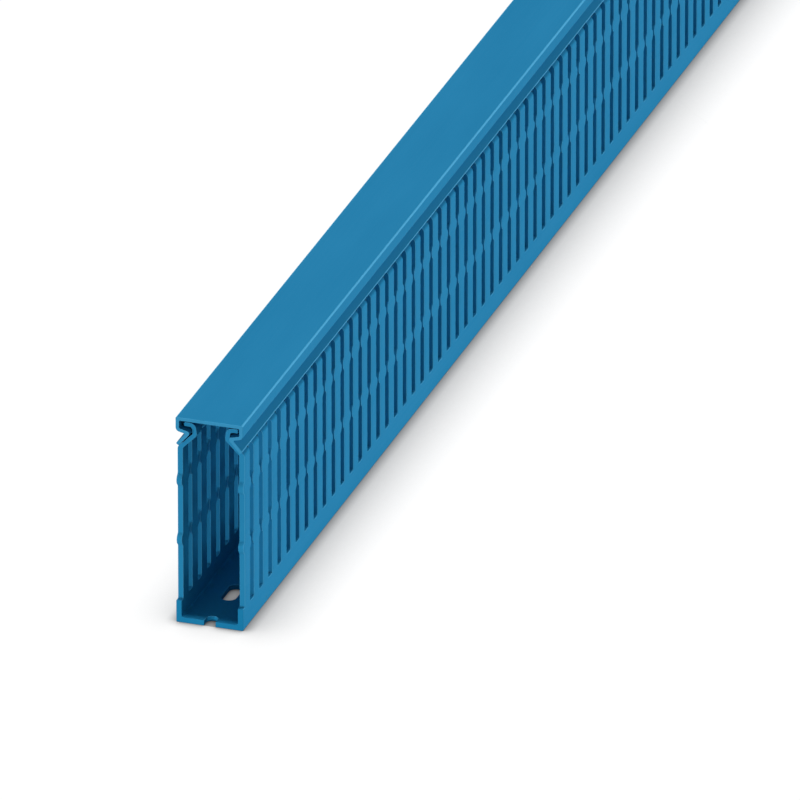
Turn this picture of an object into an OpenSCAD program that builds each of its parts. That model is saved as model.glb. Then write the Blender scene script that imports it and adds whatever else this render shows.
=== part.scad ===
// Slotted wiring duct with a clip-on lid, standing on its floor.
// X runs along the duct, Y across it and Z up. The origin is at the middle of the underside.
// Sections are drawn for the left wall: first number inward from the outer face, second number up.

/* [Duct] */
// Length of the trough and the lid
duct_length = 1000; // [200:10:1000]
// Width over the outer faces
duct_width = 25; // [24:0.5:80]
// Height from the underside to the top of the lid
duct_height = 80; // [72:1:120]

/* [Trough] */
// Thickness of the side walls
wall_thickness = 2; // [1.4:0.1:2.6]
// Thickness of the floor
floor_thickness = 2; // [1.2:0.1:3]
// Radius inside the corner of floor and wall
floor_corner_radius = 0.6; // [0.2:0.1:1.5]
// Radius of the long bottom edges
bottom_edge_radius = 0.4; // [0.2:0.1:0.8]

/* [Wall slots] */
// Distance from one slot to the next
slot_pitch = 10; // [8:0.5:16]
// Width of a slot
slot_width = 4.2; // [3.4:0.1:5.4]
// Height of the solid strip below the slots
slot_bottom = 8.4; // [4:0.2:14]
// Radius in the bottom corners of a slot
slot_corner_radius = 0.6; // [0.2:0.1:1.2]

/* [Retaining bumps] */
// Height of the lower row of bumps
lower_bump_height = 31.6; // [22:0.2:38]
// Height of the upper row of bumps
upper_bump_height = 54.8; // [46:0.2:58]
// How far a bump stands into its slot
bump_reach = 1.45; // [0.8:0.05:1.6]
// Length of a bump along the finger
bump_length = 4.8; // [4:0.1:7]

/* [Finger hooks] */
// Thickness of the bent top of a finger
hook_thickness = 1.6; // [1.2:0.1:1.8]
// Distance from the top of the lid down to the bend of the wall
shoulder_drop = 12.4; // [12:0.05:13.5]
// Slope of the finger above the bend
incline_angle = 45; // [42:1:48]
// Distance of the neck from the outer face
neck_inset = 5.6; // [5.2:0.1:6.2]
// Backward lean of the hook above the neck
hook_lean = 6; // [4:1:12]
// Radius outside the bend of the wall
wall_bend_radius = 2; // [1:0.1:2.4]
// Radius of the hook's inner tip and inside the bend of the wall
tip_radius = 1.3; // [0.6:0.1:1.5]
// Radius in the hollow of a finger's neck
neck_radius = 0.5; // [0.2:0.1:0.7]
// Radius in the hollow under the hook
under_hook_radius = 0.9; // [0.5:0.1:1.1]
// Radius of the hook's back
hook_back_radius = 2.4; // [1.5:0.1:2.4]
// Radius on the two edges of the hook's end
hook_end_radius = 0.5; // [0.2:0.1:0.5]

/* [Lid] */
// Thickness of the lid
lid_thickness = 1.3; // [1:0.1:1.6]
// Clearance between the lid and the hooks and slopes that hold it
lid_clearance = 0.4; // [0.35:0.05:0.6]
// Free height between the hooks and the lid
lid_head_room = 1.25; // [0.8:0.05:1.5]
// Gap between the end of a hook and the side of the lid
hook_end_gap = 1.1; // [0.7:0.05:1.3]
// Fall of the lid's lower edge towards the neck
ledge_fall = 13; // [8:1:18]
// Radius outside the lower bend of the lid's side
lid_bend_radius = 1.6; // [0.6:0.1:2]
// Radius inside the two upper bends of the lid's side
lid_inner_radius = 0.4; // [0.2:0.1:0.6]
// Radius of the lid's throat beside the neck
throat_radius = 1; // [0.7:0.1:1.3]
// Radius in the crease above the lip
crease_radius = 0.25; // [0.1:0.05:0.5]
// Radius of the long top edges
lid_edge_radius = 0.5; // [0.2:0.1:0.8]
// Distance of the lip's outer edge from the outer face
lip_edge_inset = 0.1; // [0:0.05:0.6]
// Clearance between the lip's edge and the slope below it
lip_clearance = 0.2; // [0.15:0.05:0.5]
// Radius of the lip's edges
lip_edge_radius = 0.4; // [0.1:0.05:0.5]

/* [Floor holes] */
// Distance from one hole to the next along the floor
hole_pitch = 25; // [20:1:50]
// Width of the small oblong holes
small_hole_width = 4.3; // [3.5:0.1:6]
// Length of the small oblong holes
small_hole_length = 9; // [7:0.5:12]
// Width of the large oblong holes
large_hole_width = 5.5; // [4.5:0.1:7]
// Length of the large oblong holes
large_hole_length = 13.5; // [10:0.5:18]

/* [Hidden] */
$fn = 48;
duct_blue = [0.18, 0.5, 0.68];
// Size of the piece that cuts a round, as a multiple of the kite between its centre and its corner
kite_scale = 1.5;
// How much larger than its round the cutting circle is, so that it crosses the two sides
tangent_margin = 0.0005;
// Largest turn of one flat in a hollow corner of the lid, and of the fingers, which repeat along the duct
lid_hollow_step = 15;
finger_hollow_step = 75;
// Steps in which the lip's slope settles
lip_passes = 4;
// How far a cutting shape stands past the surface that it cuts
overcut = 1;

// The bend of the wall, and the hook above it
shoulder_height = duct_height - shoulder_drop;
neck = [neck_inset, shoulder_height + neck_inset * tan(incline_angle)];
hook_under = duct_height - lid_thickness - lid_head_room - hook_thickness;
hook_end = lid_thickness + hook_end_gap;
hook_top = hook_under + hook_thickness;
rise_angle = 90 + hook_lean;
rise_inner = neck + hook_thickness * [cos(hook_lean), sin(hook_lean)];
incline_inner = neck + hook_thickness * [sin(incline_angle), -cos(incline_angle)];

// The lid's ledge under the hook, its rounded crease beside the neck and its lip over the slope
ledge_top = [hook_end, hook_under - lid_clearance];
ledge_bottom = ledge_top - lid_thickness * [sin(ledge_fall), cos(ledge_fall)];
throat_inset = throat_radius + lid_clearance;
throat_centre = meet(neck - throat_inset * [cos(hook_lean), sin(hook_lean)], rise_angle,
    ledge_top - throat_radius * [sin(ledge_fall), cos(ledge_fall)], -ledge_fall);
lip_angle = settled_lip_angle(lip_passes);
lip_inner = lip_inner_at(lip_angle);
lip_outer = lip_inner + lid_thickness * [-sin(lip_angle), cos(lip_angle)];

// A bump is a segment of a circle
bump_radius = ((bump_length / 2) ^ 2 + bump_reach ^ 2) / (2 * bump_reach);

// Slots and holes are counted from the end at negative X, which is cut through the middle of one of each
slot_places = [for (x = 0; x <= duct_length; x = x + slot_pitch) x - duct_length / 2];
small_hole_places = [for (x = 0; x <= duct_length; x = x + 2 * hole_pitch) x - duct_length / 2];
large_hole_places = [for (x = hole_pitch; x <= duct_length; x = x + 2 * hole_pitch) x - duct_length / 2];

function unit(v) = v / norm(v);

function with_radius(point, radius) = [point.x, point.y, radius];

function place(corner) = [corner.x, corner.y];

// Point where the line through p at angle a meets the line through q at angle b
function meet(p, a, q, b) =
    let (w = q - p)
    p + (w.x * sin(b) - w.y * cos(b)) / sin(b - a) * [cos(a), sin(a)];

// Inner edge of a lip at this slope, which clears the finger's slope and keeps the outer edge in place
function lip_inner_at(angle) =
    let (inset = lip_edge_inset + lid_thickness * sin(angle))
    [inset, shoulder_height + inset * tan(incline_angle) + lip_clearance / cos(incline_angle)];

// Slope of the line from this inner edge that touches the throat
function lip_angle_from(edge) =
    let (w = throat_centre - edge)
    atan2(w.y, w.x) - asin(throat_radius / norm(w));

// The slope and the inner edge depend on each other, so each step takes the slope of the one before
function settled_lip_angle(passes) =
    passes <= 0 ? incline_angle : lip_angle_from(lip_inner_at(settled_lip_angle(passes - 1)));

// How a corner [x, y, radius] is rounded between its neighbours: centre, radius and two tangent points
function rounding(before, corner, after) =
    let (
        c = place(corner),
        u = unit(place(before) - c),
        v = unit(place(after) - c),
        half = acos(u * v) / 2,
        room = min(norm(place(before) - c), norm(place(after) - c)) / 2,
        radius = min(corner[2], room * tan(half)),
        reach = radius / tan(half)
    )
    [c + unit(u + v) * radius / sin(half), radius, c + u * reach, c + v * reach];

// On an outline that runs clockwise, a right turn is an outer corner
function turns_right(before, corner, after) =
    cross(place(corner) - place(before), place(after) - place(corner)) < 0;

// Half of a section and its mirror image as one closed outline of corners
function both_sides(half) =
    concat(
        [for (c = half) [c.x - duct_width / 2, c.y, c[2]]],
        [for (i = [len(half) - 1 : -1 : 0]) [duct_width / 2 - half[i].x, half[i].y, half[i][2]]]
    );

// Floor, wall, slope and hook of the left side, from the underside round to the floor's top
trough_half = [
    [0, 0, bottom_edge_radius],
    [0, shoulder_height, wall_bend_radius],
    with_radius(neck, neck_radius),
    with_radius(meet(neck, rise_angle, [0, hook_under], 0), under_hook_radius),
    [hook_end, hook_under, hook_end_radius],
    [hook_end, hook_top, hook_end_radius],
    with_radius(meet(rise_inner, rise_angle, [0, hook_top], 0), hook_back_radius),
    with_radius(meet(rise_inner, rise_angle, incline_inner, incline_angle), tip_radius),
    with_radius(meet(incline_inner, incline_angle, [wall_thickness, 0], 90), tip_radius),
    [wall_thickness, floor_thickness, floor_corner_radius]
];

// Plate, side, ledge and lip of the lid's left side, from the plate's underside round to its top
lid_half = [
    [lid_thickness, duct_height - lid_thickness, lid_inner_radius],
    with_radius(meet([lid_thickness, 0], 90, ledge_top, -ledge_fall), lid_inner_radius),
    with_radius(meet(lip_inner, lip_angle, ledge_top, -ledge_fall), throat_radius),
    with_radius(lip_inner, lip_edge_radius),
    with_radius(lip_outer, lip_edge_radius),
    with_radius(meet(lip_outer, lip_angle, ledge_bottom, -ledge_fall), crease_radius),
    with_radius(meet([0, 0], 90, ledge_bottom, -ledge_fall), lid_bend_radius),
    [0, duct_height, lid_edge_radius]
];

// What a round takes off an outer corner
module corner_cut(corner, round) {
    centre = round[0];
    difference() {
        polygon([
            for (p = [centre, round[2], place(corner), round[3]]) centre + kite_scale * (p - centre)
        ]);
        translate(centre)
            circle(round[1] + tangent_margin);
    }
}

// Short flats that round a hollow corner
function hollow_flats(round, step) =
    let (
        first = round[2] - round[0],
        last = round[3] - round[0],
        turn = atan2(cross(first, last), first * last),
        start = atan2(first.y, first.x),
        flats = ceil(abs(turn) / step)
    )
    [
        for (k = [0 : flats])
            let (angle = start + turn * k / flats)
            round[0] + round[1] * [cos(angle), sin(angle)]
    ];

// Closed outline with true arcs on its outer corners and short flats in its hollow ones
module rounded_section(corners, hollow_step) {
    count = len(corners);
    last = count - 1;
    before = [for (i = [0 : last]) corners[(i + last) % count]];
    after = [for (i = [0 : last]) corners[(i + 1) % count]];
    outer = [for (i = [0 : last]) turns_right(before[i], corners[i], after[i])];
    rounds = [for (i = [0 : last]) rounding(before[i], corners[i], after[i])];
    difference() {
        polygon([
            for (i = [0 : last])
                each outer[i] ? [place(corners[i])] : hollow_flats(rounds[i], hollow_step)
        ]);
        for (i = [0 : last])
            if (outer[i])
                corner_cut(corners[i], rounds[i]);
    }
}

// A section extruded along the whole duct
module along_duct(half, hollow_step) {
    rotate([90, 0, 90])
        linear_extrude(height = duct_length, center = true)
            rounded_section(both_sides(half), hollow_step);
}

// Side view of one slot, open at the top and narrowed by two pairs of bumps
module slot_outline() {
    side = slot_width / 2;
    difference() {
        union() {
            translate([-side, slot_bottom + slot_corner_radius])
                square([slot_width, duct_height - slot_bottom]);
            translate([slot_corner_radius - side, slot_bottom])
                square([slot_width - 2 * slot_corner_radius, 2 * slot_corner_radius]);
            for (s = [-1, 1])
                translate([s * (side - slot_corner_radius), slot_bottom + slot_corner_radius])
                    circle(slot_corner_radius);
        }
        for (s = [-1, 1], height = [lower_bump_height, upper_bump_height])
            translate([s * (side - bump_reach + bump_radius), height])
                circle(bump_radius);
    }
}

// One slot cut through both walls
module wall_slot() {
    rotate([90, 0, 0])
        linear_extrude(height = duct_width + 2 * overcut, center = true)
            slot_outline();
}

// Oblong hole through the floor, running along the duct
module floor_hole(width, length) {
    straight = length - width;
    depth = floor_thickness + 2 * overcut;
    translate([0, 0, -overcut]) {
        translate([-straight / 2, -width / 2, 0])
            cube([straight, width, depth]);
        for (s = [-1, 1])
            translate([s * straight / 2, 0, 0])
                cylinder(d = width, h = depth);
    }
}

// One extrusion with punched walls and floor
module slotted_trough() {
    color(duct_blue)
        difference() {
            along_duct(trough_half, finger_hollow_step);
            for (x = slot_places)
                translate([x, 0, 0])
                    wall_slot();
            for (x = small_hole_places)
                translate([x, 0, 0])
                    floor_hole(small_hole_width, small_hole_length);
            for (x = large_hole_places)
                translate([x, 0, 0])
                    floor_hole(large_hole_width, large_hole_length);
        }
}

// One extrusion that clips over the hooks and slides along them
module clip_lid() {
    color(duct_blue)
        along_duct(lid_half, lid_hollow_step);
}

slotted_trough();
clip_lid();
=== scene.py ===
"""Looks of a slotted wiring duct with a clip-on lid: eased edges and satin plastic on a white floor."""

import math

import bmesh
import bpy
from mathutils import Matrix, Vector
from mathutils.geometry import delaunay_2d_cdt


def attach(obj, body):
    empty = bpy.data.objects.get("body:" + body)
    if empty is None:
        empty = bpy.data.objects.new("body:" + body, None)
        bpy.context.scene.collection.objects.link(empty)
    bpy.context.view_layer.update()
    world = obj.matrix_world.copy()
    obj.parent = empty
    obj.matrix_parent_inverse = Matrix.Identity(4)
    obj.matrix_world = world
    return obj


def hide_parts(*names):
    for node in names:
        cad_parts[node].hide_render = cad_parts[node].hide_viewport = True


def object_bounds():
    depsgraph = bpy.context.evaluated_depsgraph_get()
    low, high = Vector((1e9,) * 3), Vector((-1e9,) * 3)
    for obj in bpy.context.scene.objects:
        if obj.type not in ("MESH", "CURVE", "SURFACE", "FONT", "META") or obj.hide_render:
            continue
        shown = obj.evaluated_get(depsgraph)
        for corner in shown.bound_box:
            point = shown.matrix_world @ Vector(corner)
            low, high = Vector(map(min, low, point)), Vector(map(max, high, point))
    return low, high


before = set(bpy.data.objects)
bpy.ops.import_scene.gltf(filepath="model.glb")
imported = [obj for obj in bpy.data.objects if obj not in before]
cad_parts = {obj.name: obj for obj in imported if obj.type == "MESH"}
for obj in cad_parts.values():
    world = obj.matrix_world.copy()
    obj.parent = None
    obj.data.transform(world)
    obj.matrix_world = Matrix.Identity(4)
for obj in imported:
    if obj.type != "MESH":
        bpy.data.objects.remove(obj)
cad_low, cad_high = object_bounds()

MM = 0.001
UP = math.radians(90)

# Overall size from the frame, in millimetres as all shapes below
LENGTH = round((cad_high.x - cad_low.x) / MM, 3)
WIDTH = round((cad_high.y - cad_low.y) / MM, 3)
HEIGHT = round((cad_high.z - cad_low.z) / MM, 3)

# Trough
WALL = 2.0
FLOOR = 2.0
FLOOR_CORNER = 0.6
BOTTOM_EDGE = 0.4

# Wall slots
PITCH = 10.0
SLOT_WIDTH = 4.2
SLOT_BOTTOM = 8.4
SLOT_CORNER = 0.6

# Retaining bumps, with a soft foot where they meet the finger
BUMP_HEIGHTS = (31.6, 54.8)
BUMP_REACH = 1.45
BUMP_LENGTH = 4.8
BUMP_FOOT = 0.8

# Finger hooks
HOOK = 1.6
SHOULDER_DROP = 12.4
INCLINE = math.radians(45)
NECK_INSET = 5.6
HOOK_LEAN = math.radians(6)
WALL_BEND = 2.0
TIP_ROUND = 1.3
NECK_ROUND = 0.5
UNDER_HOOK_ROUND = 0.9
HOOK_BACK = 2.4
HOOK_END_ROUND = 0.5

# Lid
LID = 1.3
LID_CLEARANCE = 0.4
LID_HEAD_ROOM = 1.25
HOOK_END_GAP = 1.1
LEDGE_FALL = math.radians(13)
LID_BEND = 1.6
LID_INNER_ROUND = 0.4
THROAT_ROUND = 1.0
CREASE_ROUND = 0.25
LID_EDGE = 0.5
LIP_EDGE_INSET = 0.1
LIP_CLEARANCE = 0.2
LIP_EDGE = 0.4
LIP_PASSES = 4

# Oblong floor holes, width and length
HOLE_PITCH = 25.0
SMALL_HOLE = (4.3, 9.0)
LARGE_HOLE = (5.5, 13.5)

# Easing of the punched edges and of the sawn ends
EASE = 0.12
END_EASE = 0.10

# How finely arcs are drawn: steps of each, and the largest turn of one step on the lid
BEND_STEPS = 4
BUMP_STEPS = 6
FOOT_STEPS = 2
FLARE_STEPS = 3
END_STEPS = 3
EDGE_STEPS = 3
HOLE_STEPS = 12
LID_TURN = math.radians(11)

# Points of a mesh this close, or alike to this many digits, are one
WELD = 0.0005
KEY_DIGITS = 4
# Weight of the large faces in the shading, so that flats look flat
FLATNESS = 100
# Share of a hole's easing that surely lies over the hole, although its arcs are drawn in steps
HOLE_MARGIN = 0.9

# Pigment of the plastic as linear colour: where its clouds are deep, middling and pale
CLOUD_STOPS = (0.3, 0.5, 0.7)
CLOUD_BLUES = ((0.0085, 0.191, 0.383), (0.0100, 0.198, 0.394), (0.0115, 0.205, 0.405))

# Paler blue painted on as light, a painted highlight on edges and painted light on cut faces, how much of it
# each takes, and the radius below which a round is an edge
PAINTED_LIGHT_BLUE = (0.1000, 0.430, 0.690)
EDGE_PAINTED_HIGHLIGHT = 0.6
PUNCHED_PAINTED_LIGHT = 0.08
SAWN_PAINTED_LIGHT = 0.3
TIGHT_ROUND = 0.55
PAINTED_LIGHT_NAME = "paleness"

# Noise of the finish: stretch along the duct, scale for a metre, and detail
CLOUDS = (4.0, 60.0, 3.0)
DRAW_LINES = (60.0, 900.0, 2.0)
GRAIN = (1.0, 2600.0, 2.0)
NOISE_ROUGHNESS = 0.55

# Relief of the finish, as strength and depth, and its gloss
LINE_RELIEF = (0.2, 0.02)
GRAIN_RELIEF = (0.3, 0.015)
SMOOTHEST = 0.46
ROUGHEST = 0.60
SPECULAR = 0.1

# Floor: reach in metres, drop below the duct, shine to the camera, and the light that it throws back
FLOOR_REACH = 20.0
FLOOR_DROP = 0.02
FLOOR_SHINE = 0.9
FLOOR_LIT = 0.12
FLOOR_BOUNCE = 0.3

# Strip of floor under the duct, which keeps the bounced light off the holes, and whose lower shine is
# painted shade that makes it darker to the camera
STRIP_DROP = 0.01
STRIP_PAINTED_SHADE_SHINE = 0.45

# Reach of the duct's soft shadow and of its dark line of contact, both painted shadow in the floor's glow
SHADOW_REACH = 24.5
CONTACT_REACH = 4.5
# The soft painted shadow is looked for around a line that leans this far to the left, so it is stronger on
# the right
SHADOW_LEAN = math.radians(10)

# Light of the dome, and of the world as the camera sees it
DOME_LEVEL = 0.28
BACKGROUND_LEVEL = 1.0

# Far lights, as azimuth, elevation and spread in degrees, and level
OVERHEAD = (90, 90, 6, 0.78)
# The low ones stand for light that is bounced up from the table
BOUNCED = {
    "bounce right": (-30, -12, 10, 1.58),
    "bounce left": (55, -12, 10, 0.45),
    "bounce front": (152, -8, 10, 0.31),
    "front": (180, -6, 12, 0.40),
}

# Camera, fitted to the photograph's edges, in metres
PHOTO_PIXELS = 800
CAMERA_YAW = math.radians(18.52)
CAMERA_ELEVATION = math.radians(25.10)
CAMERA_DISTANCE = 8.682
CAMERA_FOCUS_PIXELS = 24025
CAMERA_NEAR = 0.1
CAMERA_FAR = 100
AIM_FROM_FRONT = 0.2119
AIM_HEIGHT = -0.0057
SENSOR = 36.0

# Half the width of a finger, at its side and where it flares into the slots' bottoms
HALF_FINGER = (PITCH - SLOT_WIDTH) / 2
FLARE = HALF_FINGER + SLOT_CORNER
# Distance from the middle at which the easing of the sawn ends starts
EASED_END = LENGTH / 2 - END_EASE


def link(obj):
    bpy.context.scene.collection.objects.link(obj)
    return obj


# Plane geometry: first number inward from the outer face, second number up


def direction(angle):
    return Vector((math.cos(angle), math.sin(angle)))


def meet(p, a, q, b):
    """Point where the line through p at angle a meets the line through q at angle b."""
    w = q - p
    return p + direction(a) * ((w.x * math.sin(b) - w.y * math.cos(b)) / math.sin(b - a))


class Arc:
    """The round of a corner between its two neighbours."""

    def __init__(self, before, corner, after, radius):
        u = (before - corner).normalized()
        v = (after - corner).normalized()
        half = u.angle(v) / 2
        self.radius = radius
        self.centre = corner + (u + v).normalized() * (radius / math.sin(half))
        first = corner + u * (radius / math.tan(half)) - self.centre
        last = corner + v * (radius / math.tan(half)) - self.centre
        self.start = math.atan2(first.y, first.x)
        self.turn = math.atan2(first.x * last.y - first.y * last.x, first.dot(last))

    def points(self, steps):
        angles = [self.start + self.turn * k / steps for k in range(steps + 1)]
        return [self.centre + direction(angle) * self.radius for angle in angles]


def rounded_outline(corners, largest_turn):
    """Clockwise outline of corners (x, y, radius), rounded in steps, and how much painted highlight its
    sides take.
    """
    outline = []
    paleness = []
    count = len(corners)
    for k in range(count):
        before, corner, after = (Vector(corners[(k + shift) % count][:2]) for shift in (-1, 0, 1))
        arc = Arc(before, corner, after, corners[k][2])
        steps = max(1, math.ceil(abs(arc.turn) / largest_turn))
        is_edge = arc.turn < 0 and arc.radius < TIGHT_ROUND
        outline += arc.points(steps)
        # Tight outward rounds take a painted highlight
        paleness += [EDGE_PAINTED_HIGHLIGHT if is_edge else 0] * steps + [0]
    return outline, paleness


def inset(outline, distance):
    """The closed outline drawn in by a distance, whichever way it runs."""
    count = len(outline)
    area = sum(outline[k - 1].x * outline[k].y - outline[k].x * outline[k - 1].y for k in range(count))
    side = math.copysign(distance, area)
    drawn = []
    for k in range(count):
        a = (outline[k] - outline[k - 1]).normalized()
        b = (outline[(k + 1) % count] - outline[k]).normalized()
        normal = Vector((-a.y - b.y, a.x + b.x))
        drawn.append(outline[k] + normal * (side / (1 + a.dot(b))))
    return drawn


# Sections of the left wall and of the lid


shoulder = HEIGHT - SHOULDER_DROP
neck = Vector((NECK_INSET, shoulder + NECK_INSET * math.tan(INCLINE)))
hook_top = HEIGHT - LID - LID_HEAD_ROOM
hook_under = hook_top - HOOK
hook_end = LID + HOOK_END_GAP
rise = UP + HOOK_LEAN
rise_inner = neck + direction(HOOK_LEAN) * HOOK
incline_inner = neck + direction(INCLINE - UP) * HOOK

# Corners of a finger's outer and inner side, with their radii
finger_outer = [
    (Vector((0, 0)), 0),
    (Vector((0, shoulder)), WALL_BEND),
    (neck, NECK_ROUND),
    (meet(neck, rise, Vector((0, hook_under)), 0), UNDER_HOOK_ROUND),
    (Vector((hook_end, hook_under)), 0),
]
finger_inner = [
    (Vector((WALL, 0)), 0),
    (meet(incline_inner, INCLINE, Vector((WALL, 0)), UP), TIP_ROUND),
    (meet(rise_inner, rise, incline_inner, INCLINE), TIP_ROUND),
    (meet(rise_inner, rise, Vector((0, hook_top)), 0), HOOK_BACK),
    (Vector((hook_end, hook_top)), 0),
]


def lip_inner_at(angle):
    """Inner edge of a lip at this slope, just clear of the finger's slope."""
    along = LIP_EDGE_INSET + LID * math.sin(angle)
    return Vector((along, shoulder + along * math.tan(INCLINE) + LIP_CLEARANCE / math.cos(INCLINE)))


def lip_angle_beside(throat_centre):
    """Slope of a lip that touches the throat. The slope and the inner edge settle in a few passes."""
    angle = INCLINE
    for _ in range(LIP_PASSES):
        w = throat_centre - lip_inner_at(angle)
        angle = math.atan2(w.y, w.x) - math.asin(THROAT_ROUND / w.length)
    return angle


def lid_section():
    """Closed section of the lid, across the duct and up, and how much painted highlight its sides take."""
    ledge_down = direction(-UP - LEDGE_FALL)
    ledge_top = Vector((hook_end, hook_under - LID_CLEARANCE))
    ledge_bottom = ledge_top + ledge_down * LID
    throat_start = neck - direction(HOOK_LEAN) * (THROAT_ROUND + LID_CLEARANCE)
    throat_centre = meet(throat_start, rise, ledge_top + ledge_down * THROAT_ROUND, -LEDGE_FALL)
    angle = lip_angle_beside(throat_centre)
    lip_inner = lip_inner_at(angle)
    lip_outer = lip_inner + direction(angle + UP) * LID
    side_top = meet(Vector((LID, 0)), UP, ledge_top, -LEDGE_FALL)
    throat = meet(lip_inner, angle, ledge_top, -LEDGE_FALL)
    crease = meet(lip_outer, angle, ledge_bottom, -LEDGE_FALL)
    side_bottom = meet(Vector((0, 0)), UP, ledge_bottom, -LEDGE_FALL)
    half = [
        (LID, HEIGHT - LID, LID_INNER_ROUND),
        (*side_top, LID_INNER_ROUND),
        (*throat, THROAT_ROUND),
        (*lip_inner, LIP_EDGE),
        (*lip_outer, LIP_EDGE),
        (*crease, CREASE_ROUND),
        (*side_bottom, LID_BEND),
        (0, HEIGHT, LID_EDGE),
    ]
    left = [(x - WIDTH / 2, z, radius) for x, z, radius in half]
    right = [(-x, z, radius) for x, z, radius in reversed(left)]
    return rounded_outline(left + right, LID_TURN)


# Meshes


class Skin:
    """Faces of one piece in millimetres. Points that coincide are shared."""

    def __init__(self):
        self.points = []
        self.index = {}
        self.faces = []
        self.paleness = []

    def point(self, place):
        key = tuple(round(value, KEY_DIGITS) for value in place)
        if key not in self.index:
            self.index[key] = len(self.points)
            self.points.append(key)
        return self.index[key]

    def face(self, places, paleness=0):
        self.faces.append([self.point(place) for place in places])
        self.paleness.append(paleness)

    def strip(self, one, other, closed=False, paleness=(0,)):
        """Quads between two rows of points. The painted light of the quads repeats along the row."""
        count = len(one)
        for k in range(count if closed else count - 1):
            following = (k + 1) % count
            quad = (one[k], one[following], other[following], other[k])
            self.face(quad, paleness[k % len(paleness)])

    def cap(self, outline, end, paleness=0):
        """A sawn end with an eased rim on a closed outline across the duct. The end is -1 or 1."""
        rim = [(end * EASED_END, p.x, p.y) for p in outline]
        edge = [(end * LENGTH / 2, p.x, p.y) for p in inset(outline, END_EASE)]
        self.strip(rim, edge, closed=True, paleness=(paleness,))
        self.face(edge, paleness)

    def mesh(self, name):
        """A welded mesh with outward faces."""
        shape = bmesh.new()
        # Each face keeps its share of painted highlight and painted light
        pale = shape.faces.layers.float.new(PAINTED_LIGHT_NAME)
        corners = [shape.verts.new(Vector(point) * MM) for point in self.points]
        for face, paleness in zip(self.faces, self.paleness):
            made = shape.faces.new([corners[k] for k in face])
            made.smooth = True
            made[pale] = paleness
        bmesh.ops.remove_doubles(shape, verts=shape.verts, dist=WELD * MM)
        bmesh.ops.recalc_face_normals(shape, faces=shape.faces)
        mesh = bpy.data.meshes.new(name)
        shape.to_mesh(mesh)
        shape.free()
        return mesh

    def piece(self, name, material):
        """An object of the faces, shaded so that flats look flat."""
        piece = link(bpy.data.objects.new(name, self.mesh(name)))
        piece.data.materials.append(material)
        weighted = piece.modifiers.new("flat faces", "WEIGHTED_NORMAL")
        weighted.mode = "FACE_AREA"
        weighted.weight = FLATNESS
        return piece


def arc_stations(centre, radius, start, end, steps):
    """Places along an arc with their normals. A hollow arc has a negative radius."""
    normals = [direction(start + (end - start) * k / steps) for k in range(steps + 1)]
    return [(centre + normal * radius, normal) for normal in normals]


def finger_side():
    """Side of a finger below its bend, from the slot's bottom up: places (along, up) and outward normals."""
    corner = Vector((FLARE, SLOT_BOTTOM + SLOT_CORNER))
    stations = arc_stations(corner, -SLOT_CORNER, UP, 0, FLARE_STEPS)
    radius = ((BUMP_LENGTH / 2) ** 2 + BUMP_REACH ** 2) / (2 * BUMP_REACH)
    middle = HALF_FINGER + BUMP_REACH - radius
    foot = HALF_FINGER + BUMP_FOOT
    foot_rise = math.sqrt((radius + BUMP_FOOT) ** 2 - (foot - middle) ** 2)
    meeting = math.atan2(foot_rise, foot - middle)
    for height in BUMP_HEIGHTS:
        low = Vector((foot, height - foot_rise))
        high = Vector((foot, height + foot_rise))
        stations += arc_stations(low, -BUMP_FOOT, 0, -meeting, FOOT_STEPS)[:-1]
        stations += arc_stations(Vector((middle, height)), radius, -meeting, meeting, BUMP_STEPS)
        stations += arc_stations(high, -BUMP_FOOT, meeting, 0, FOOT_STEPS)[1:]
    return stations


def hook_stations():
    """Bent top of a finger, as outer and inner points (inward, up) and how far its sides draw in there."""
    stations = []
    for k in range(1, len(finger_outer) - 1):
        outer, inner = (
            Arc(corners[k - 1][0], corners[k][0], corners[k + 1][0], corners[k][1]).points(BEND_STEPS)
            for corners in (finger_outer, finger_inner)
        )
        stations += [(p, q, 0) for p, q in zip(outer, inner)]
    for k in range(END_STEPS + 1):
        angle = UP * k / END_STEPS
        inward = hook_end + HOOK_END_ROUND * (1 - math.sin(angle))
        rounding = HOOK_END_ROUND * (1 - math.cos(angle))
        under = Vector((inward, hook_under + rounding))
        over = Vector((inward, hook_top - rounding))
        stations.append((under, over, EASE * (1 - math.cos(angle))))
    return stations


def finger_rings():
    """Rings of eight points (along, inward, up) that skin one finger, from its foot to the hook's end."""
    halves = []
    for place, normal in finger_side():
        face = place - normal * EASE
        halves.append([
            (face.x, 0, face.y),
            (place.x, EASE, place.y),
            (place.x, WALL - EASE, place.y),
            (face.x, WALL, face.y),
        ])
    for outer, inner, narrowing in hook_stations():
        eased = (inner - outer).normalized() * EASE
        halves.append([
            (HALF_FINGER - EASE, *outer),
            (HALF_FINGER - narrowing, *(outer + eased)),
            (HALF_FINGER - narrowing, *(inner - eased)),
            (HALF_FINGER - EASE, *inner),
        ])
    return [half + [(-x, inward, z) for x, inward, z in reversed(half)] for half in halves]


def across(side, inward):
    """Place across the duct of a point that is so far inward of the left (1) or right (-1) outer face."""
    return side * (WIDTH / 2 - inward)


def add_fingers(skin, side, centres):
    rings = finger_rings()
    for centre in centres:
        placed = [[(centre + x, across(side, inward), z) for x, inward, z in ring] for ring in rings]
        for one, other in zip(placed, placed[1:]):
            # Eased edges take a painted highlight, and the punched sides a little painted light
            skin.strip(one, other, closed=True, paleness=(EDGE_PAINTED_HIGHLIGHT, PUNCHED_PAINTED_LIGHT, EDGE_PAINTED_HIGHLIGHT, 0))
        skin.face(placed[-1])


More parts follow.
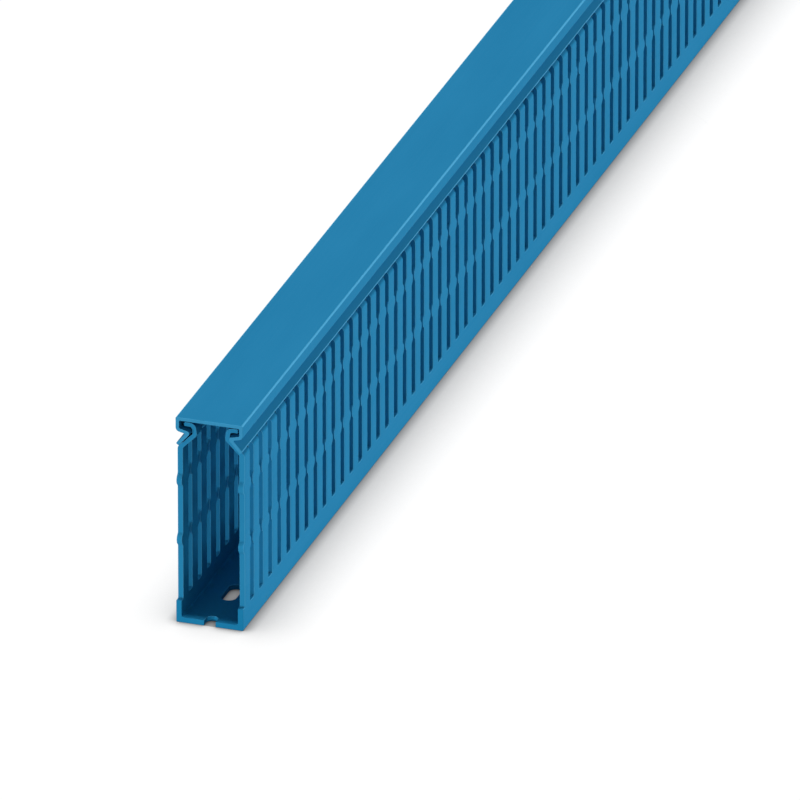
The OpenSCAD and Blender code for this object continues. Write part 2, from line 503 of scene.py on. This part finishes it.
def add_base(skin, side, centres, columns):
    """Solid part of one side below the slots, with the floor's edge between the halved holes at the ends."""
    def row(x, points):
        return [(x, across(side, p.x), p.y) for p in points]

    rim_height = SLOT_BOTTOM - EASE
    floor_corner = Arc(Vector((WALL, HEIGHT)), Vector((WALL, FLOOR)), Vector((WIDTH, FLOOR)), FLOOR_CORNER)
    bottom_edge = Arc(Vector((WIDTH, 0)), Vector((0, 0)), Vector((0, HEIGHT)), BOTTOM_EDGE)
    inner = [Vector((WALL, rim_height)), *floor_corner.points(EDGE_STEPS)]
    outer = [*bottom_edge.points(EDGE_STEPS), Vector((0, rim_height))]
    top = [Vector((EASE, SLOT_BOTTOM)), Vector((WALL - EASE, SLOT_BOTTOM))]
    rim = [outer[-1], *top, inner[0]]
    for one, other in zip(columns, columns[1:]):
        for points in (inner, outer):
            skin.strip(row(one, points), row(other, points))
    for centre in centres:
        for start, end in ((-PITCH / 2, -FLARE), (FLARE, PITCH / 2)):
            one = max(centre + start, -EASED_END)
            other = min(centre + end, EASED_END)
            # The eased edges of the rim take a painted highlight
            skin.strip(row(one, rim), row(other, rim), paleness=(EDGE_PAINTED_HIGHLIGHT, 0))
    hole_edge = WIDTH / 2 - SMALL_HOLE[0] / 2
    cut = [
        Vector((hole_edge - EASE, FLOOR)),
        Vector((hole_edge, FLOOR - EASE)),
        Vector((hole_edge, EASE)),
        Vector((hole_edge - EASE, 0)),
    ]
    end_outline = [Vector((across(side, p.x), p.y)) for p in top + inner + cut + outer]
    for end in (-1, 1):
        skin.cap(end_outline, end)


def oblong(width, length, growth):
    """Outline of an oblong hole along the duct, as (along, across), grown by the growth."""
    radius = width / 2 + growth
    straight = (length - width) / 2
    outline = []
    for side, turned in ((1, 0), (-1, math.pi)):
        for k in range(HOLE_STEPS + 1):
            angle = turned + math.pi * k / HOLE_STEPS - UP
            outline.append(Vector((side * straight, 0)) + direction(angle) * radius)
    return outline


def floor_holes():
    """Place, width and length of each hole, counted from both ends alike."""
    count = round(LENGTH / HOLE_PITCH)
    return [(k * HOLE_PITCH - LENGTH / 2, *(LARGE_HOLE if k % 2 else SMALL_HOLE)) for k in range(count + 1)]


def hole_row(x, width, length, growth):
    """Outline of one hole in place, and whether it closes: the ends cut their hole in half."""
    outline = [Vector((x, 0)) + p for p in oblong(width, length, growth)]
    if abs(x) < LENGTH / 2:
        return outline, True
    round_end = [p for p in outline if abs(p.x) < abs(x) - (length - width) / 4]
    cut = math.copysign(EASED_END, x)
    return [Vector((cut, round_end[0].y)), *round_end, Vector((cut, round_end[-1].y))], False


def over_hole(place):
    for x, width, length in floor_holes():
        past = max(0, abs(place.x - x) - (length - width) / 2)
        if math.hypot(past, place.y) < width / 2 + EASE * HOLE_MARGIN:
            return True
    return False


def add_floor_sheet(skin, half_width, height, columns):
    """Top or underside of the floor, around its holes."""
    places = [Vector((x, side * half_width)) for side in (-1, 1) for x in columns]
    edges = []
    for hole in floor_holes():
        outline, closed = hole_row(*hole, EASE)
        first = len(places)
        places += outline
        count = len(outline)
        edges += [(first + k, first + (k + 1) % count) for k in range(count if closed else count - 1)]
    made, _, triangles, *_ = delaunay_2d_cdt(places, edges, [], 0, WELD)
    for triangle in triangles:
        corners = [made[k] for k in triangle]
        if not over_hole(sum(corners, Vector((0, 0))) / len(corners)):
            skin.face([(p.x, p.y, height) for p in corners])


def add_floor(skin, columns):
    """Both faces of the floor, and the eased walls of its holes."""
    add_floor_sheet(skin, WIDTH / 2 - WALL - FLOOR_CORNER, FLOOR, columns)
    add_floor_sheet(skin, WIDTH / 2 - BOTTOM_EDGE, 0, columns)
    for hole in floor_holes():
        grown, closed = hole_row(*hole, EASE)
        drawn, _ = hole_row(*hole, 0)
        levels = ((grown, FLOOR), (drawn, FLOOR - EASE), (drawn, EASE), (grown, 0))
        rows = [[(p.x, p.y, z) for p in row] for row, z in levels]
        # The eased rims of the holes take a painted highlight
        for one, other, paleness in zip(rows, rows[1:], (EDGE_PAINTED_HIGHLIGHT, 0, EDGE_PAINTED_HIGHLIGHT)):
            skin.strip(one, other, closed=closed, paleness=(paleness,))


def trough_skin():
    skin = Skin()
    centres = [PITCH / 2 + PITCH * k - LENGTH / 2 for k in range(round(LENGTH / PITCH))]
    columns = [-EASED_END]
    for centre in centres:
        columns += [centre - FLARE, centre + FLARE, min(centre + PITCH / 2, EASED_END)]
    for side in (-1, 1):
        add_fingers(skin, side, centres)
        add_base(skin, side, centres, columns)
    add_floor(skin, columns)
    return skin


def lid_skin():
    skin = Skin()
    section, paleness = lid_section()
    front, back = ([(end * EASED_END, p.x, p.y) for p in section] for end in (-1, 1))
    skin.strip(front, back, closed=True, paleness=paleness)
    for end in (-1, 1):
        # The sawn ends of the lid take painted light
        skin.cap(section, end, SAWN_PAINTED_LIGHT)
    return skin


# Materials


class Nodes:
    """The nodes of a material or a world, with short calls to make and join them."""

    def __init__(self, owner, output):
        owner.use_nodes = True
        self.tree = owner.node_tree
        self.tree.nodes.clear()
        self.output = self.node(output)

    def node(self, kind, **settings):
        """A node with these values on its sockets, or on itself where it has no such socket."""
        made = self.tree.nodes.new("ShaderNode" + kind)
        for key, value in settings.items():
            if key in made.inputs:
                made.inputs[key].default_value = value
            else:
                setattr(made, key, value)
        return made

    def join(self, source, target):
        self.tree.links.new(source, target)

    def noise(self, stretch, scale, detail):
        """Noise in the piece's own frame, drawn out along the duct by the stretch."""
        place = self.node("TexCoord")
        mapping = self.node("Mapping", Scale=(1 / stretch, 1, 1))
        noise = self.node("TexNoise", Scale=scale, Detail=detail, Roughness=NOISE_ROUGHNESS)
        self.join(place.outputs["Object"], mapping.inputs["Vector"])
        self.join(mapping.outputs["Vector"], noise.inputs["Vector"])
        return noise.outputs["Fac"]

    def bump(self, height, strength, depth):
        made = self.node("Bump", Strength=strength, Distance=depth * MM)
        self.join(height, made.inputs["Height"])
        return made

    def show(self, surface):
        self.join(surface, self.output.inputs["Surface"])

    def show_by_ray(self, to_light, to_camera):
        """One surface for the light on its way, and another that the camera sees."""
        path = self.node("LightPath")
        either = self.node("MixShader")
        self.join(path.outputs["Is Camera Ray"], either.inputs["Fac"])
        self.join(to_light, either.inputs[1])
        self.join(to_camera, either.inputs[2])
        self.show(either.outputs["Shader"])


def duct_plastic(name):
    """Satin extruded PVC: faint draw lines along the duct, clouded pigment, a fine grain, and a paler blue
    painted on edges as highlight and on cut faces as light.
    """
    material = bpy.data.materials.new(name)
    nodes = Nodes(material, "OutputMaterial")
    surface = nodes.node("BsdfPrincipled", **{"Specular IOR Level": SPECULAR})
    clouds = nodes.noise(*CLOUDS)
    lines = nodes.noise(*DRAW_LINES)
    grain = nodes.noise(*GRAIN)

    pigment = nodes.node("ValToRGB")
    stops = pigment.color_ramp.elements
    stops.new(CLOUD_STOPS[1])
    for stop, position, blue in zip(stops, CLOUD_STOPS, CLOUD_BLUES):
        stop.position = position
        stop.color = (*blue, 1)
    nodes.join(clouds, pigment.inputs["Fac"])
    # Paler blue painted on by each face's share: painted highlight on edges, painted light on cut faces
    edge = nodes.node("Attribute", attribute_name=PAINTED_LIGHT_NAME)
    colour = nodes.node("MixRGB", Color2=(*PAINTED_LIGHT_BLUE, 1))
    nodes.join(edge.outputs["Fac"], colour.inputs["Fac"])
    nodes.join(pigment.outputs["Color"], colour.inputs["Color1"])
    nodes.join(colour.outputs["Color"], surface.inputs["Base Color"])

    gloss = nodes.node("MapRange", **{"To Min": SMOOTHEST, "To Max": ROUGHEST})
    nodes.join(lines, gloss.inputs["Value"])
    nodes.join(gloss.outputs["Result"], surface.inputs["Roughness"])

    relief = nodes.bump(lines, *LINE_RELIEF)
    fine = nodes.bump(grain, *GRAIN_RELIEF)
    nodes.join(relief.outputs["Normal"], fine.inputs["Normal"])
    nodes.join(fine.outputs["Normal"], surface.inputs["Normal"])
    nodes.show(surface.outputs["BSDF"])
    return material


def grey(level):
    return (level, level, level, 1)


def floor_paint(name, shine):
    """Floor that the camera sees as bright as the shine, with the duct's soft shadow and line of contact
    painted into that glow.
    """
    material = bpy.data.materials.new(name)
    nodes = Nodes(material, "OutputMaterial")
    bounce = nodes.node("BsdfDiffuse", Color=grey(FLOOR_BOUNCE))
    lit = nodes.node("BsdfDiffuse", Color=grey(FLOOR_LIT))
    leaning = nodes.node("CombineXYZ", Y=math.sin(SHADOW_LEAN), Z=math.cos(SHADOW_LEAN))
    # Painted shadow: two occlusion tests darken the glow near the duct
    shadow = nodes.node("AmbientOcclusion", Distance=SHADOW_REACH * MM)
    contact = nodes.node("AmbientOcclusion", Distance=CONTACT_REACH * MM)
    glow_with_painted_shadow = nodes.node("Emission", Strength=shine)
    nodes.join(leaning.outputs["Vector"], shadow.inputs["Normal"])
    nodes.join(shadow.outputs["Color"], contact.inputs["Color"])
    nodes.join(contact.outputs["Color"], glow_with_painted_shadow.inputs["Color"])
    seen = nodes.node("AddShader")
    nodes.join(lit.outputs["BSDF"], seen.inputs[0])
    nodes.join(glow_with_painted_shadow.outputs["Emission"], seen.inputs[1])
    nodes.show_by_ray(bounce.outputs["BSDF"], seen.outputs["Shader"])
    return material


# Camera, floor and lights


def towards(azimuth, elevation):
    """Unit vector from the duct in this direction."""
    level = math.cos(elevation)
    return Vector((math.cos(azimuth) * level, math.sin(azimuth) * level, math.sin(elevation)))


def turn_to(obj, forward):
    """Turn a camera or a lamp to look or shine this way."""
    obj.rotation_mode = "QUATERNION"
    obj.rotation_quaternion = forward.to_track_quat("-Z", "Y")


def make_camera():
    """Long lens on the photographed end, which is at negative X."""
    data = bpy.data.cameras.new("camera")
    data.sensor_width = SENSOR
    data.lens = CAMERA_FOCUS_PIXELS / PHOTO_PIXELS * SENSOR
    data.clip_start = CAMERA_NEAR
    data.clip_end = CAMERA_FAR
    camera = link(bpy.data.objects.new("camera", data))
    forward = towards(CAMERA_YAW, -CAMERA_ELEVATION)
    aim = Vector((cad_low.x + AIM_FROM_FRONT, 0, AIM_HEIGHT))
    camera.location = aim - forward * CAMERA_DISTANCE
    turn_to(camera, forward)
    bpy.context.scene.camera = camera


def make_floor(name, half_length, half_width, drop, material):
    """A flat piece of floor a hair below the duct."""
    mesh = bpy.data.meshes.new(name)
    signs = ((-1, -1), (1, -1), (1, 1), (-1, 1))
    mesh.from_pydata([(x * half_length, y * half_width, -drop * MM) for x, y in signs], [], [(0, 1, 2, 3)])
    mesh.materials.append(material)
    floor = link(bpy.data.objects.new(name, mesh))
    return floor


def make_sun(name, azimuth, elevation, spread, level):
    """Soft far light. The level is what a white matte face turned to it would show."""
    lamp = bpy.data.lights.new(name, "SUN")
    lamp.angle = math.radians(spread)
    lamp.energy = level * math.pi
    sun = link(bpy.data.objects.new(name, lamp))
    turn_to(sun, -towards(math.radians(azimuth), math.radians(elevation)))
    return sun


def make_dome():
    """A dim even light from all round, which the camera sees as a white background."""
    world = bpy.data.worlds.new("studio")
    bpy.context.scene.world = world
    nodes = Nodes(world, "OutputWorld")
    light, seen = (
        nodes.node("Background", Color=grey(1), Strength=level) for level in (DOME_LEVEL, BACKGROUND_LEVEL)
    )
    nodes.show_by_ray(light.outputs["Background"], seen.outputs["Background"])


def make_lights(shading):
    """The dome, light from overhead, and light from the table, which only the shading objects stop."""
    make_dome()
    make_sun("overhead", *OVERHEAD)
    shades = bpy.data.collections.new("shades")
    for obj in shading:
        shades.objects.link(obj)
    for name, values in BOUNCED.items():
        sun = make_sun(name, *values)
        sun.visible_glossy = False
        sun.light_linking.blocker_collection = shades


def dressed(skin, name, node, body, material):
    piece = skin.piece(name, material)
    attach(piece, body)
    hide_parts(node)
    return piece


make_camera()
bpy.context.scene.view_settings.view_transform = "Standard"
trough = dressed(
    trough_skin(), "trough_shell", "slotted_trough", "trough", duct_plastic("trough_blue")
)
lid = dressed(lid_skin(), "lid_shell", "clip_lid", "lid", duct_plastic("lid_blue"))
make_floor("floor", FLOOR_REACH, FLOOR_REACH, FLOOR_DROP, floor_paint("studio_floor", FLOOR_SHINE))
strip_half_width = (WIDTH / 2 - BOTTOM_EDGE) * MM
# The strip under the duct shows painted shade to the camera
strip = make_floor(
    "floor_under_duct", cad_high.x, strip_half_width, STRIP_DROP, floor_paint("shaded_floor", STRIP_PAINTED_SHADE_SHINE)
)
make_lights((trough, lid, strip))
